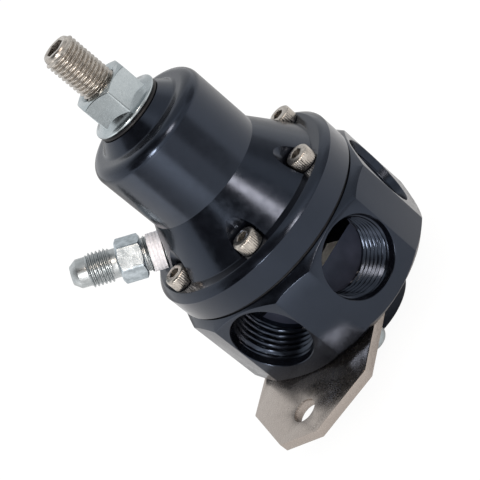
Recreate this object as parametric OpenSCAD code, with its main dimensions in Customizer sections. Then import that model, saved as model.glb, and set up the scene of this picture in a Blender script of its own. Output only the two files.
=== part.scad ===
// Bypass fuel pressure regulator: a spring-loaded diaphragm in a bolted bonnet over a ported block,
// with an adjusting screw on top, a return port in the boss below and a mounting bracket.
// The axis of the diaphragm is Z, and the origin is the centre of the return boss's lower face.

/* [Body] */
// Distance across the wide port faces
body_af = 63.5; // [60:0.5:72]
// Width of the narrow corner flats
corner_flat = 12; // [8:0.5:14]
// Height of the ported block
body_h = 28.3; // [27.5:0.1:36]
// Setback of the turned end faces inside the wide faces
edge_set = 0.4; // [0.2:0.1:2]
// Diameter of the return boss
boss_d = 30.5; // [27:0.5:36]
// Height of the return boss
boss_h = 13; // [11:0.5:20]

/* [Ports] */
// Number of side ports
port_count = 3; // [1:1:6]
// Direction of the first side port
port_first = -90; // [-180:60:180]
// Bore of the side ports and the return port
port_d = 22.22; // [16:0.02:23]
// Depth of the deeper side ports from their faces
port_depth = 15.8; // [13:0.1:17]
// How much shallower every other side port is, starting with the first
port_stagger = 1.2; // [0.6:0.1:2]
// Height of the side port axes above the block's lower face
port_up = 15.9; // [14:0.1:17]
// Depth of the return port
return_depth = 14.9; // [12:0.1:16]

/* [Fuel chamber] */
// Diameter of the chamber under the diaphragm
chamber_d = 40; // [34:0.5:43]
// Depth of the chamber
chamber_depth = 13.5; // [10:0.1:15]
// Diameter of the valve well in the chamber's floor
well_d = 24; // [19:0.5:26]
// Thickness of the floor between the valve well and the return port
seat_floor = 3.1; // [2:0.1:4]

/* [Bonnet] */
// Diameter of the bonnet's flange
flange_d = 63.5; // [60:0.5:72]
// Thickness of the flange
flange_h = 9.4; // [8:0.1:12]
// Chamfer around the flange's upper edge
flange_chamfer = 2; // [0.5:0.1:3]
// Diameter of the cone's foot
cone_foot_d = 53; // [50:0.2:55]
// Height of the cone
cone_h = 13.5; // [11:0.1:18]
// Diameter of the spring barrel
barrel_d = 37.4; // [35:0.1:42]
// Height of the spring barrel
barrel_h = 22.6; // [20:0.1:30]
// Rounding of the barrel's shoulder
shoulder_r = 4; // [2:0.1:4.4]
// Diameter of the neck's top face
neck_d = 20.8; // [19:0.1:22]
// Height of the neck above the shoulder
neck_h = 3.3; // [2:0.1:6]
// Bore of the spring barrel
spring_bore = 29; // [28:0.1:30]
// Fillet between the shoulder and the neck
neck_fillet = 1.2; // [0.4:0.1:2]
// Thickness of the barrel's top, up to the shoulder
crown_h = 6.1; // [5:0.1:8]

/* [Bonnet screws] */
// Number of bonnet screws
bolt_count = 6; // [4:1:8]
// Diameter of the bonnet screws' circle
bolt_circle = 52.1; // [50:0.1:54]
// Thread diameter of a bonnet screw
bolt_d = 4; // [3:0.1:4.2]
// Diameter of a bonnet screw's head
bolt_head_d = 6.9; // [6:0.1:7.5]
// Height of a bonnet screw's head
bolt_head_h = 4.1; // [3:0.1:5]
// Reach of a bonnet screw into the block
bolt_reach = 7.8; // [5:0.1:8]

/* [Adjusting screw] */
// Thread diameter of the adjusting screw
stud_d = 10; // [8:0.5:11]
// Length of the adjusting screw
stud_len = 40; // [36:0.5:44]
// Length of the adjusting screw that shows above the lock nut
stud_show = 14.5; // [10:0.5:18]
// Width across the flats of the lock nut
nut_af = 15; // [14:0.5:17]
// Height of the lock nut with its flange
nut_h = 10; // [8:0.1:12]
// Diameter of the lock nut's flange
nut_flange_d = 20.6; // [19.5:0.1:22]
// Pitch of the adjusting screw's thread
stud_pitch = 1.25; // [0.75:0.05:1.75]
// Turn of the lock nut about the axis
nut_turn = 13.5; // [0:0.5:59.5]
// Diameter of the seal washer
washer_d = 20.3; // [18:0.1:22]
// Thickness of the seal washer
washer_t = 1.1; // [0.8:0.1:2]

/* [Spring and valve] */
// Outside diameter of the main spring
spring_d = 25.6; // [24:0.1:26.4]
// Wire diameter of the main spring
wire_d = 3; // [2:0.1:3.4]
// Number of turns of the main spring
spring_turns = 7; // [5:0.5:9]
// Thickness of the diaphragm
diaphragm_t = 0.8; // [0.5:0.1:1.5]
// Diameter of the plates that clamp the diaphragm
plate_d = 28.4; // [26.5:0.1:29]
// Diameter of the valve stem
stem_d = 13.6; // [11:0.1:16]
// Thread diameter of the stem's clamping end
stem_thread_d = 8; // [6:0.5:9]
// Width across the flats of the stem nut
stem_nut_af = 13; // [11:0.5:14]
// Bore of the valve seat
seat_bore = 7.2; // [5:0.1:8]

/* [Reference fitting] */
// Direction of the reference fitting around the axis
fitting_angle = -150; // [-150:60:150]
// Upward tilt of the reference fitting
fitting_tilt = 31; // [25:1:38]
// Height on the cone where the fitting enters, above the cone's foot
fitting_up = 5.3; // [4:0.1:7]
// Turn of the fitting's hexagon about its own axis
fitting_turn = 33; // [0:1:59]
// Diameter of the fitting's pipe thread
pipe_d = 10.29; // [9:0.01:11]
// Diameter of the fitting's hose thread
hose_d = 9.525; // [8:0.005:11]
// Pitch of the fitting's hose thread
hose_pitch = 1.06; // [0.8:0.01:1.6]
// Width across the flats of the fitting's hexagon
fitting_af = 11.11; // [10:0.01:13]

/* [Bracket] */
// Width of the bracket
bracket_w = 40.4; // [38:0.2:46]
// Thickness of the bracket
bracket_t = 2.8; // [2:0.1:4]
// Reach of the bracket's tip from the axis
bracket_reach = 52.8; // [48:0.2:60]
// Length of the bracket's tip edge
tip_w = 13.2; // [10:0.2:18]
// Length of the bracket's cut corners along the bracket
corner_cut = 14.1; // [10:0.1:18]
// Diameter of the mounting hole
mount_hole_d = 7.1; // [5:0.1:8.5]
// Distance of the mounting hole from the tip edge
mount_hole_in = 8.8; // [7:0.1:12]
// Spacing of the two bracket screws
bracket_screw_gap = 29; // [27:0.5:31]
// Distance of the bracket screws from the axis along the bracket
bracket_screw_out = 24; // [22:0.5:26]

/* [Hidden] */
$fn = 96;

// Clearances: a turning thread, a fastener in its hole, and an overshoot that keeps cuts clean
run_gap = 0.05;
hole_gap = 0.1;
cut = 1;

// Small edges: a broken corner, and the set of a hexagon's turned bevel inside its flats
edge_break = 0.5;
hex_bevel = 0.2;

// Threads turned as ribs: depth and crest width as shares of the pitch
rib_depth = 0.6;
rib_crest = 0.2;

// Heights of the stack, from the boss upwards
block_z = boss_h;
joint_z = block_z + body_h;
flange_z = joint_z + diaphragm_t;
cone_z = flange_z + flange_h;
barrel_z = cone_z + cone_h;
shoulder_z = barrel_z + barrel_h;
neck_z = shoulder_z + neck_h;
nut_z = neck_z + washer_t;
nut_top_z = nut_z + nut_h;
stud_top_z = nut_top_z + stud_show;
stud_z = stud_top_z - stud_len;

// Block: the flats' apothems and the turned end faces
wide_apothem = body_af / 2;
flat_apothem = (wide_apothem - corner_flat / 2 * sin(30)) / cos(30);
wide_half = (flat_apothem - wide_apothem * cos(30)) / sin(30);
corner_r = norm([wide_apothem, wide_half]);
end_face_r = wide_apothem - edge_set;
port_z = block_z + port_up;
port_angles = [for (i = [0 : port_count - 1]) port_first + 60 * i];
port_depths = [for (i = [0 : port_count - 1]) port_depth - (i % 2 == 0 ? port_stagger : 0)];
chamber_z = joint_z - chamber_depth;
well_z = return_depth + seat_floor;
bolt_angles = [for (i = [0 : bolt_count - 1]) 360 / bolt_count * i];
bolt_bottom_z = joint_z - bolt_reach;
bolt_socket_af = 3.2;
pocket_gap = 1.5;
pocket_d = bolt_head_d + pocket_gap;

// Bonnet: the neck's slope, and the space above the diaphragm
relief_r = chamber_d / 2 + 0.5;
relief_h = 4.4;
funnel_h = 9.5;
crown_z = shoulder_z - crown_h;
neck_lean = 40;
neck_foot_r = neck_d / 2 + neck_h * tan(neck_lean);

// Spring cap under the adjusting screw
cap_recess = 1.2;
cap_h = 4.2;
cap_top_z = stud_z + cap_recess;
cap_z = cap_top_z - cap_h;
cap_d = spring_d + 0.8;
cap_pilot_h = 3;

// Diaphragm stack: plates, spring seat and stem
lower_plate_t = 1.4;
upper_plate_t = 1.6;
plate_lip_h = 1.5;
plate_edge = 0.5;
spring_seat_z = flange_z + upper_plate_t;
stem_top_z = joint_z - lower_plate_t;
stem_nut_h = 5;
stem_end_z = spring_seat_z + stem_nut_h + edge_break;
roll_r = 2.2;
roll_mid_r = (plate_d / 2 + chamber_d / 2) / 2;

// Valve seat and the soft face that closes on its lip
seat_flange_w = 3.9;
seat_wall = 2.4;
seat_flange_r = seat_bore / 2 + seat_flange_w;
seat_flange_h = 1.4;
seat_spigot_r = seat_bore / 2 + seat_wall;
seat_lip_h = 0.8;
seat_lip_w = 1.2;
lip_z = well_z + seat_flange_h + seat_lip_h;
face_t = 1.8;
face_r = stem_d / 2 - 0.7;
face_proud = 0.7;
ring_cord_d = 1;
ring_z = return_depth + seat_floor / 2;

// Reference fitting, measured outwards along its own axis from the cone's surface
cone_slope = (cone_foot_d - barrel_d) / 2 / cone_h;
fitting_r = cone_foot_d / 2 - cone_slope * fitting_up;
fitting_z = cone_z + fitting_up;
pipe_inside = 7;
tape_len = 4.6;
pipe_show = 6.7;
hex_len = 5.6;
neck_len = 1.9;
hose_len = 6.5;
nose_land = 2.9;
nose_cone = 1.9;
hose_neck_d = hose_d - 1.5;
nose_tip_d = hose_neck_d - 2 * nose_cone * tan(37);
fitting_bore = 3.8;
tape_t = 0.2;
spot_face_d = 13.6;
spot_face_in = 1;

// Bracket under the block
bracket_z = block_z - bracket_t;
boss_clear = 1.25;
bracket_screw_d = 4;
bracket_head_d = 8.2;
bracket_head_h = 2.8;
bracket_screw_reach = 7;

// One hexagonal column of a given width across flats, with flats facing Y
module hex_column(across_flats, height) {
    linear_extrude(height)
        circle(d = across_flats / cos(30), $fn = 6);
}

// Section points of a thread's ribs of radius r between two heights, as evenly spaced grooves
function ribs(r, pitch, low, high) =
    let (count = floor((high - low) / pitch),
         start = (low + high - count * pitch) / 2)
    [for (i = [0 : count - 1]) for (side = [-1, 0, 1])
        [side == 0 ? r - rib_depth * pitch : r, start + (i + 0.5 + side * (1 - rib_crest) / 2) * pitch]];

// Children placed along the axis of a side port, with +Z pointing out of the mouth
module at_port(angle) {
    rotate([0, 0, angle])
        translate([wide_apothem, 0, port_z])
            rotate([0, 90, 0])
                children();
}

// Children placed at each bonnet screw
module at_bolts() {
    for (angle = bolt_angles)
        rotate([0, 0, angle])
            translate([bolt_circle / 2, 0, 0])
                children();
}

// Children placed at each bracket screw
module at_bracket_screws() {
    for (side = [-1, 1])
        translate([side * bracket_screw_gap / 2, -bracket_screw_out, 0])
            children();
}

// Children placed on the reference fitting's axis, with +Z pointing out of the cone
module at_fitting() {
    rotate([0, 0, fitting_angle])
        translate([fitting_r, 0, fitting_z])
            rotate([0, 90 - fitting_tilt, 0])
                children();
}

// The twelve-sided block with turned chamfers at both ends
module block_blank() {
    turn_r = corner_r + cut;
    turn_h = turn_r - end_face_r;
    intersection() {
        translate([0, 0, block_z])
            hex_column(2 * wide_apothem, body_h);
        translate([0, 0, block_z])
            rotate(30)
                hex_column(2 * flat_apothem, body_h);
        rotate_extrude()
            polygon([[0, block_z], [end_face_r, block_z], [turn_r, block_z + turn_h],
                     [turn_r, joint_z - turn_h], [end_face_r, joint_z], [0, joint_z]]);
    }
}

module body() {
    color("#26282d")
    difference() {
        union() {
            block_blank();
            rotate_extrude()
                polygon([[0, 0], [boss_d / 2 - edge_break, 0], [boss_d / 2, edge_break],
                         [boss_d / 2, block_z + cut], [0, block_z + cut]]);
        }
        for (i = [0 : port_count - 1])
            at_port(port_angles[i])
                translate([0, 0, -port_depths[i]])
                    cylinder(d = port_d, h = port_depths[i] + cut);
        translate([0, 0, -cut])
            cylinder(d = port_d, h = return_depth + cut);
        translate([0, 0, return_depth - cut])
            cylinder(r = seat_spigot_r, h = seat_floor + 2 * cut);
        translate([0, 0, well_z])
            cylinder(d = well_d, h = body_h);
        translate([0, 0, chamber_z])
            cylinder(d = chamber_d, h = chamber_depth + cut);
        at_bolts()
            translate([0, 0, bolt_bottom_z - edge_break])
                cylinder(d = bolt_d + hole_gap, h = bolt_reach + edge_break + cut);
        at_bracket_screws()
            translate([0, 0, block_z - cut])
                cylinder(d = bracket_screw_d + hole_gap, h = bracket_screw_reach + edge_break + cut);
    }
}

// Section of the bonnet's flange, with a chamfered upper edge
module flange_section() {
    rim_r = flange_d / 2;
    polygon([[0, flange_z], [rim_r, flange_z], [rim_r, cone_z - flange_chamfer],
             [rim_r - flange_chamfer, cone_z], [0, cone_z]]);
}

// Section of the bonnet's tower: the cone, the barrel with its rounded shoulder, and the neck
module tower_section() {
    barrel_r = barrel_d / 2;
    fillet_mid = [neck_foot_r + neck_fillet * tan(45 - neck_lean / 2), shoulder_z + neck_fillet];
    fillet = [for (a = [0 : 6])
        fillet_mid - neck_fillet * [sin(a * (90 - neck_lean) / 6), cos(a * (90 - neck_lean) / 6)]];
    polygon(concat([[0, cone_z - 2 * cut], [cone_foot_d / 2, cone_z - 2 * cut], [cone_foot_d / 2, cone_z],
                    [barrel_r, barrel_z], [barrel_r, shoulder_z - shoulder_r],
                    [barrel_r - shoulder_r, shoulder_z - shoulder_r], [barrel_r - shoulder_r, shoulder_z]],
                   fillet, [[neck_d / 2, neck_z], [0, neck_z]]));
    translate([barrel_r - shoulder_r, shoulder_z - shoulder_r])
        circle(r = shoulder_r);
}

// Space inside the bonnet for the diaphragm plates and the spring
module bonnet_space() {
    polygon([[0, flange_z - cut], [relief_r, flange_z - cut], [relief_r, flange_z + relief_h],
             [spring_bore / 2, flange_z + relief_h + funnel_h], [spring_bore / 2, crown_z], [0, crown_z]]);
}

module bonnet() {
    color("#26282d")
    difference() {
        union() {
            rotate_extrude()
                flange_section();
            difference() {
                rotate_extrude()
                    tower_section();
                at_bolts()
                    translate([0, 0, cone_z - cut])
                        cylinder(d = pocket_d, h = cone_h + cut);
            }
        }
        rotate_extrude()
            bonnet_space();
        translate([0, 0, crown_z - cut])
            cylinder(d = stud_d + 2 * run_gap, h = neck_z - crown_z + 2 * cut);
        at_bolts()
            translate([0, 0, flange_z - cut])
                cylinder(d = bolt_d + hole_gap, h = flange_h + 2 * cut);
        at_fitting() {
            translate([0, 0, -spot_face_in])
                cylinder(d = spot_face_d, h = spot_face_in + 2 * cut);
            translate([0, 0, -2 * pipe_inside])
                cylinder(d = pipe_d + hole_gap, h = 2 * pipe_inside + cut);
        }
    }
}

module cap_screws() {
    color("#a7a196")
    at_bolts()
        difference() {
            union() {
                translate([0, 0, bolt_bottom_z])
                    cylinder(d = bolt_d, h = cone_z - bolt_bottom_z);
                translate([0, 0, cone_z])
                    rotate_extrude()
                        polygon([[0, 0], [bolt_head_d / 2, 0], [bolt_head_d / 2, bolt_head_h - edge_break],
                                 [bolt_head_d / 2 - edge_break, bolt_head_h], [0, bolt_head_h]]);
            }
            translate([0, 0, cone_z + bolt_head_h / 2])
                hex_column(bolt_socket_af, bolt_head_h);
        }
}

// Flat plate with a narrowed tip and a mounting hole, under the first side port
module bracket() {
    side = bracket_w / 2;
    inner = boss_d / 2 + boss_clear;
    color("#b4aca2")
    difference() {
        translate([0, 0, bracket_z])
            linear_extrude(bracket_t)
                polygon([[-side, -inner - edge_break], [-side + edge_break, -inner], [side - edge_break, -inner],
                         [side, -inner - edge_break], [side, -bracket_reach + corner_cut],
                         [tip_w / 2, -bracket_reach], [-tip_w / 2, -bracket_reach],
                         [-side, -bracket_reach + corner_cut]]);
        translate([0, -bracket_reach + mount_hole_in, bracket_z - cut])
            cylinder(d = mount_hole_d, h = bracket_t + 2 * cut);
        at_bracket_screws()
            translate([0, 0, bracket_z - cut])
                cylinder(d = bracket_screw_d + hole_gap, h = bracket_t + 2 * cut);
    }
}

// Pan-head screws that hold the bracket from below
module bracket_screws() {
    dome_r = 1.8;
    core_r = bracket_head_d / 2 - dome_r;
    color("#c9ced2")
    at_bracket_screws()
        translate([0, 0, bracket_z - bracket_head_h])
            rotate_extrude() {
                square([bracket_screw_d / 2, bracket_head_h + bracket_t + bracket_screw_reach]);
                square([core_r, bracket_head_h]);
                intersection() {
                    square([bracket_head_d / 2, bracket_head_h]);
                    translate([core_r, dome_r]) {
                        circle(r = dome_r);
                        square([dome_r, bracket_head_h]);
                    }
                }
            }
}

module reference_fitting() {
    hex_end = pipe_show + hex_len;
    hose_start = hex_end + neck_len;
    hose_end = hose_start + hose_len;
    land_end = hose_end + nose_land;
    hex_r = fitting_af / cos(30) / 2;
    face_r = fitting_af / 2 - hex_bevel;
    hex_turn = (hex_r + cut - face_r) * tan(30);
    color("#b9c2c4")
    at_fitting()
        difference() {
            union() {
                rotate_extrude()
                    polygon(concat([[0, -pipe_inside], [pipe_d / 2 - edge_break, -pipe_inside],
                                    [pipe_d / 2, edge_break - pipe_inside],
                                    [pipe_d / 2, pipe_show - edge_break],
                                    [pipe_d / 2 - edge_break, pipe_show], [hose_neck_d / 2, pipe_show],
                                    [hose_neck_d / 2, hose_start], [hose_d / 2, hose_start + edge_break]],
                                   ribs(hose_d / 2, hose_pitch, hose_start + edge_break, hose_end - edge_break),
                                   [[hose_d / 2, hose_end - edge_break], [hose_neck_d / 2, hose_end],
                                    [hose_neck_d / 2, land_end], [nose_tip_d / 2, land_end + nose_cone],
                                    [0, land_end + nose_cone]]));
                intersection() {
                    translate([0, 0, pipe_show])
                        rotate(fitting_turn)
                            hex_column(fitting_af, hex_len);
                    rotate_extrude()
                        polygon([[0, pipe_show], [face_r, pipe_show], [hex_r + cut, pipe_show + hex_turn],
                                 [hex_r + cut, hex_end - hex_turn], [face_r, hex_end], [0, hex_end]]);
                }
            }
            translate([0, 0, -pipe_inside - cut])
                cylinder(d = fitting_bore, h = pipe_inside + land_end + nose_cone + 2 * cut);
        }
}

// Sealing tape wound on the pipe thread where it enters the cone
module thread_tape() {
    color("#eceae6")
    at_fitting()
        difference() {
            cylinder(r = pipe_d / 2 + tape_t + hole_gap / 2, h = tape_len);
            translate([0, 0, -cut])
                cylinder(r = pipe_d / 2 + hole_gap / 2, h = tape_len + 2 * cut);
        }
}

module adjusting_screw() {
    tip = 1;
    socket_af = stud_d / 2;
    color("#8f877e")
    difference() {
        rotate_extrude()
            polygon(concat([[0, stud_z], [stud_d / 2 - tip, stud_z], [stud_d / 2, stud_z + tip]],
                           ribs(stud_d / 2, stud_pitch, stud_z + tip, stud_top_z - tip),
                           [[stud_d / 2, stud_top_z - tip], [stud_d / 2 - tip, stud_top_z], [0, stud_top_z]]));
        translate([0, 0, stud_top_z - socket_af])
            hex_column(socket_af, socket_af + cut);
    }
}

// Hexagon nut with a chamfered top, on a thin flange that rises steeply at the flats
module lock_nut() {
    rim_h = 1;
    foot_h = nut_h / 3;
    hex_r = nut_af / cos(30) / 2;
    flange_r = nut_flange_d / 2;
    top_r = nut_af / 2 - hex_bevel;
    color("#c3cbce")
    difference() {
        union() {
            intersection() {
                translate([0, 0, nut_z])
                    rotate(nut_turn)
                        hex_column(nut_af, nut_h);
                rotate_extrude()
                    polygon([[0, nut_z], [hex_r + cut, nut_z],
                             [hex_r + cut, nut_top_z - (hex_r + cut - top_r) * tan(30)],
                             [top_r, nut_top_z], [0, nut_top_z]]);
            }
            rotate_extrude()
                polygon([[0, nut_z], [flange_r - edge_break, nut_z], [flange_r, nut_z + edge_break],
                         [flange_r, nut_z + rim_h], [hex_r + hex_bevel, nut_z + rim_h + edge_break],
                         [nut_af / 2 - edge_break, nut_z + foot_h], [0, nut_z + foot_h]]);
        }
        translate([0, 0, nut_z - cut])
            cylinder(d = stud_d + 2 * run_gap, h = nut_h + 2 * cut);
    }
}

module seal_washer() {
    color("#17181b")
    difference() {
        translate([0, 0, neck_z])
            cylinder(d = washer_d, h = washer_t);
        translate([0, 0, neck_z - cut])
            cylinder(d = stud_d + 8 * hole_gap, h = washer_t + 2 * cut);
    }
}

// Spring seat that the adjusting screw's end presses on
module spring_cap() {
    recess_r = stud_d / 2 + 0.3;
    pilot_r = spring_d / 2 - wire_d - 0.5;
    color("#8d9196")
    rotate_extrude()
        polygon([[0, cap_z - cap_pilot_h], [pilot_r - edge_break, cap_z - cap_pilot_h],
                 [pilot_r, cap_z - cap_pilot_h + edge_break], [pilot_r, cap_z], [cap_d / 2, cap_z],
                 [cap_d / 2, cap_top_z - edge_break], [cap_d / 2 - edge_break, cap_top_z],
                 [recess_r, cap_top_z], [recess_r, stud_z], [0, stud_z]]);
}

// Height of the coil's wire at a turn: one closed turn at each end, evenly open turns between
function coil_z(turn, low, high) =
    let (open_turns = spring_turns - 2,
         rise = high - low - 2 * wire_d)
    turn < 1 ? low + wire_d * turn :
    turn > spring_turns - 1 ? high - wire_d * (spring_turns - turn) :
    low + wire_d + rise * (turn - 1) / open_turns;

// Round wire swept along the coil
module main_spring() {
    steps = 24 * spring_turns;
    sides = 8;
    mean_r = (spring_d - wire_d) / 2;
    low = spring_seat_z + wire_d / 2;
    high = cap_z - wire_d / 2;
    points = [for (i = [0 : steps]) for (k = [0 : sides - 1])
        let (turn = spring_turns * i / steps,
             around = 360 * k / sides,
             r = mean_r + wire_d / 2 * cos(around))
        [r * cos(360 * turn), r * sin(360 * turn), coil_z(turn, low, high) + wire_d / 2 * sin(around)]];
    skin = [for (i = [0 : steps - 1]) for (k = [0 : sides - 1])
        let (next = (k + 1) % sides)
        [i * sides + k, (i + 1) * sides + k, (i + 1) * sides + next, i * sides + next]];
    start_cap = [[for (k = [0 : sides - 1]) k]];
    end_cap = [[for (k = [0 : sides - 1]) steps * sides + sides - 1 - k]];
    color("#5d6166")
    polyhedron(points, concat(skin, start_cap, end_cap));
}

// Cupped plate above the diaphragm, whose lip centres the spring
module upper_plate() {
    lip_r = spring_d / 2 + 0.3;
    hub_r = stem_thread_d / 2 + run_gap;
    color("#9aa0a6")
    rotate_extrude()
        polygon([[hub_r, flange_z], [plate_d / 2 - plate_edge, flange_z], [plate_d / 2, flange_z + plate_edge],
                 [plate_d / 2, spring_seat_z + plate_lip_h], [lip_r, spring_seat_z + plate_lip_h],
                 [lip_r, spring_seat_z], [hub_r, spring_seat_z]]);
}

// Flexible disc clamped at its rim and centre, with one rolled fold between
module diaphragm() {
    rim_r = min(flange_d / 2, end_face_r) - edge_break;
    hub_r = stem_thread_d / 2 + run_gap;
    color("#1b1b1d")
    difference() {
        rotate_extrude() {
            translate([hub_r, joint_z])
                square([roll_mid_r - roll_r + diaphragm_t - hub_r, diaphragm_t]);
            translate([roll_mid_r + roll_r - diaphragm_t, joint_z])
                square([rim_r - roll_mid_r - roll_r + diaphragm_t, diaphragm_t]);
            intersection() {
                translate([roll_mid_r, joint_z])
                    difference() {
                        circle(r = roll_r);
                        circle(r = roll_r - diaphragm_t);
                    }
                translate([0, joint_z])
                    square([rim_r, 2 * roll_r]);
            }
        }
        at_bolts()
            translate([0, 0, joint_z - cut])
                cylinder(d = bolt_d + 2 * hole_gap, h = diaphragm_t + 2 * cut);
    }
}

module lower_plate() {
    hub_r = stem_thread_d / 2 + run_gap;
    color("#9aa0a6")
    rotate_extrude()
        polygon([[hub_r, stem_top_z], [plate_d / 2 - plate_edge, stem_top_z],
                 [plate_d / 2, stem_top_z + plate_edge], [plate_d / 2, joint_z], [hub_r, joint_z]]);
}

// Stem that carries the valve face below the diaphragm and is clamped through its centre
module valve_stem() {
    stem_bottom_z = lip_z + face_proud;
    color("#cfcac0")
    rotate_extrude()
        polygon([[0, lip_z + face_t], [face_r + run_gap, lip_z + face_t], [face_r + run_gap, stem_bottom_z],
                 [stem_d / 2, stem_bottom_z], [stem_d / 2, stem_top_z], [stem_thread_d / 2, stem_top_z],
                 [stem_thread_d / 2, stem_end_z - edge_break], [stem_thread_d / 2 - edge_break, stem_end_z],
                 [0, stem_end_z]]);
}

module stem_nut() {
    hex_r = stem_nut_af / cos(30) / 2;
    top_r = stem_nut_af / 2 - hex_bevel;
    nut_end_z = spring_seat_z + stem_nut_h;
    color("#c3cbce")
    difference() {
        intersection() {
            translate([0, 0, spring_seat_z])
                hex_column(stem_nut_af, stem_nut_h);
            rotate_extrude()
                polygon([[0, spring_seat_z], [hex_r + cut, spring_seat_z],
                         [hex_r + cut, nut_end_z - (hex_r + cut - top_r) * tan(30)],
                         [top_r, nut_end_z], [0, nut_end_z]]);
        }
        translate([0, 0, spring_seat_z - cut])
            cylinder(d = stem_thread_d + 2 * run_gap, h = stem_nut_h + 2 * cut);
    }
}

// Soft disc in the stem's lower end
module valve_face() {
    color("#1b1b1d")
    translate([0, 0, lip_z])
        cylinder(r = face_r, h = face_t);
}

// Seat insert with a raised lip, a flange on the well's floor and a spigot with a ring groove
module valve_seat() {
    bore_r = seat_bore / 2;
    groove_r = seat_spigot_r - ring_cord_d;
    half_groove = ring_cord_d * 0.7;
    color("#b8a26a")
    rotate_extrude()
        polygon([[bore_r, return_depth], [seat_spigot_r - run_gap, return_depth],
                 [seat_spigot_r - run_gap, ring_z - half_groove], [groove_r, ring_z - half_groove],
                 [groove_r, ring_z + half_groove], [seat_spigot_r - run_gap, ring_z + half_groove],
                 [seat_spigot_r - run_gap, well_z], [seat_flange_r, well_z],
                 [seat_flange_r, well_z + seat_flange_h], [bore_r + seat_lip_w, well_z + seat_flange_h],
                 [bore_r + seat_lip_w / 2, lip_z], [bore_r, lip_z]]);
}

module seat_o_ring() {
    color("#141416")
    translate([0, 0, ring_z])
        rotate_extrude()
            translate([seat_spigot_r - ring_cord_d / 2, 0])
                circle(d = ring_cord_d - run_gap, $fn = 24);
}

body();
bonnet();
cap_screws();
bracket();
bracket_screws();
reference_fitting();
thread_tape();
adjusting_screw();
lock_nut();
seal_washer();
spring_cap();
main_spring();
upper_plate();
diaphragm();
lower_plate();
valve_stem();
stem_nut();
valve_face();
valve_seat();
seat_o_ring();
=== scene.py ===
from math import atan2, ceil, cos, floor, hypot, pi, radians, sin, tan

import bpy
import bmesh
from mathutils import Matrix, Vector


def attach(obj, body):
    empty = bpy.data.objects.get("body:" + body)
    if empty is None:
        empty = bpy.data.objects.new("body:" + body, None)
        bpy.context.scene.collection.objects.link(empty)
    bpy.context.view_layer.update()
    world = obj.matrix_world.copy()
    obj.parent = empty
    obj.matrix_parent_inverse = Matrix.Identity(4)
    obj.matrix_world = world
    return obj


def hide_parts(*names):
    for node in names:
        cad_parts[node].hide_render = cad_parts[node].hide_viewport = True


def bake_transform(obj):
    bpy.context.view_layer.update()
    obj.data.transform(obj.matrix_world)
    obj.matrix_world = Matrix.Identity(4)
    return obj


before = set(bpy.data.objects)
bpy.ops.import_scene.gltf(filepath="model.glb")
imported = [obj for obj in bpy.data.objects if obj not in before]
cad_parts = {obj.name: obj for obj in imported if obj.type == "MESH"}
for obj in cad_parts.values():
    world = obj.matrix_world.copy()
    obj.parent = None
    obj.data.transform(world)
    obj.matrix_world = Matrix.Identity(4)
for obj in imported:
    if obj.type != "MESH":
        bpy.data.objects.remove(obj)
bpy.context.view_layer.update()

MM = 0.001

# Sizes in millimetres, as the solids have them unless a comment says otherwise.
# The threads in the ports and the pipe thread are only in this scene.
WIDE_APOTHEM = 31.75
FLAT_APOTHEM = 33.1975  # a hair inside the solid's
BOSS_R = 15.25
BLOCK_Z = 13.0
JOINT_Z = 41.3
CHAMBER_R, LEDGE_Z = 20.0, 27.8
WELL_R, WELL_Z = 12.0, 18.0
PORT_R = 11.11
PORT_MINOR_R = 10.2
PORT_Z = 28.9
PORT_PITCH = 1.814
PORTS = (("port_cutter_a", 14.6, -90), ("port_cutter_b", 15.8, -30), ("port_cutter_c", 14.6, 30))
RETURN_DEPTH = 14.9
SEAT_HOLE_R = 6.0
FLANGE_Z = 42.1
FLANGE_R = 31.75
CONE_Z = 51.5
CONE_FOOT_R = 26.47
BARREL_Z = 65.0
BARREL_R = 18.7
SHOULDER_Z = 87.6
SHOULDER_R = 3.4  # as in the photograph, 4.0 in the solid
NECK_Z = 90.9
NECK_R = 10.4
NECK_LEAN = 40  # degrees
NUT_Z = 92.0
NUT_TOP_Z = 102.0
STUD_TOP_Z = 116.5
STUD_Z = 76.5
STUD_R = 5.0
BOLT_CIRCLE_R = 26.05
BOLT_COUNT = 6
FITTING_ANGLE = radians(-150)
FITTING_TILT = radians(31)
FITTING_R = 23.438
FITTING_Z = 56.8
PIPE_PITCH = 0.941
HEX_START, HEX_END = 5.2, 12.3  # the hexagon starts as in the photograph, at 6.7 in the solid
TAPE_START, TAPE_END = -0.2, 3.5  # the tape ends as in the photograph, at 4.6 in the solid
BRACKET_Z = 10.2
BRACKET_T = 2.8
BRACKET_HALF = 20.2
SCREW_X, SCREW_Y = 16.0, -24.0  # the bracket screws' place as in the photograph, x 14.5 in the solid


# Helpers

def value(v, a):
    """A number as it is, or a function's value at an angle."""
    return v(a) if callable(v) else v


def rings_to_mesh(name, rings, count, closed=False):
    """Joins rings of (radius, height), each a number or a function of the angle, around Z.
    A ring of radius 0 is a pole. A closed section joins its last ring to its first."""
    bm = bmesh.new()
    loops = []
    for r, z in rings:
        if not callable(r) and r == 0:
            loops.append([bm.verts.new((0, 0, value(z, 0) * MM))])
            continue
        loop = []
        for i in range(count):
            a = 2 * pi * i / count
            loop.append(bm.verts.new((value(r, a) * cos(a) * MM, value(r, a) * sin(a) * MM, value(z, a) * MM)))
        loops.append(loop)
    pairs = list(zip(loops, loops[1:]))
    if closed:
        pairs.append((loops[-1], loops[0]))
    for low, high in pairs:
        for i in range(count):
            j = (i + 1) % count
            if len(low) == 1:
                bm.faces.new((low[0], high[j], high[i]))
            elif len(high) == 1:
                bm.faces.new((low[i], low[j], high[0]))
            else:
                bm.faces.new((low[i], low[j], high[j], high[i]))
    bmesh.ops.remove_doubles(bm, verts=bm.verts, dist=1e-8)
    bmesh.ops.recalc_face_normals(bm, faces=bm.faces)
    mesh = bpy.data.meshes.new(name)
    bm.to_mesh(mesh)
    bm.free()
    return mesh


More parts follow.
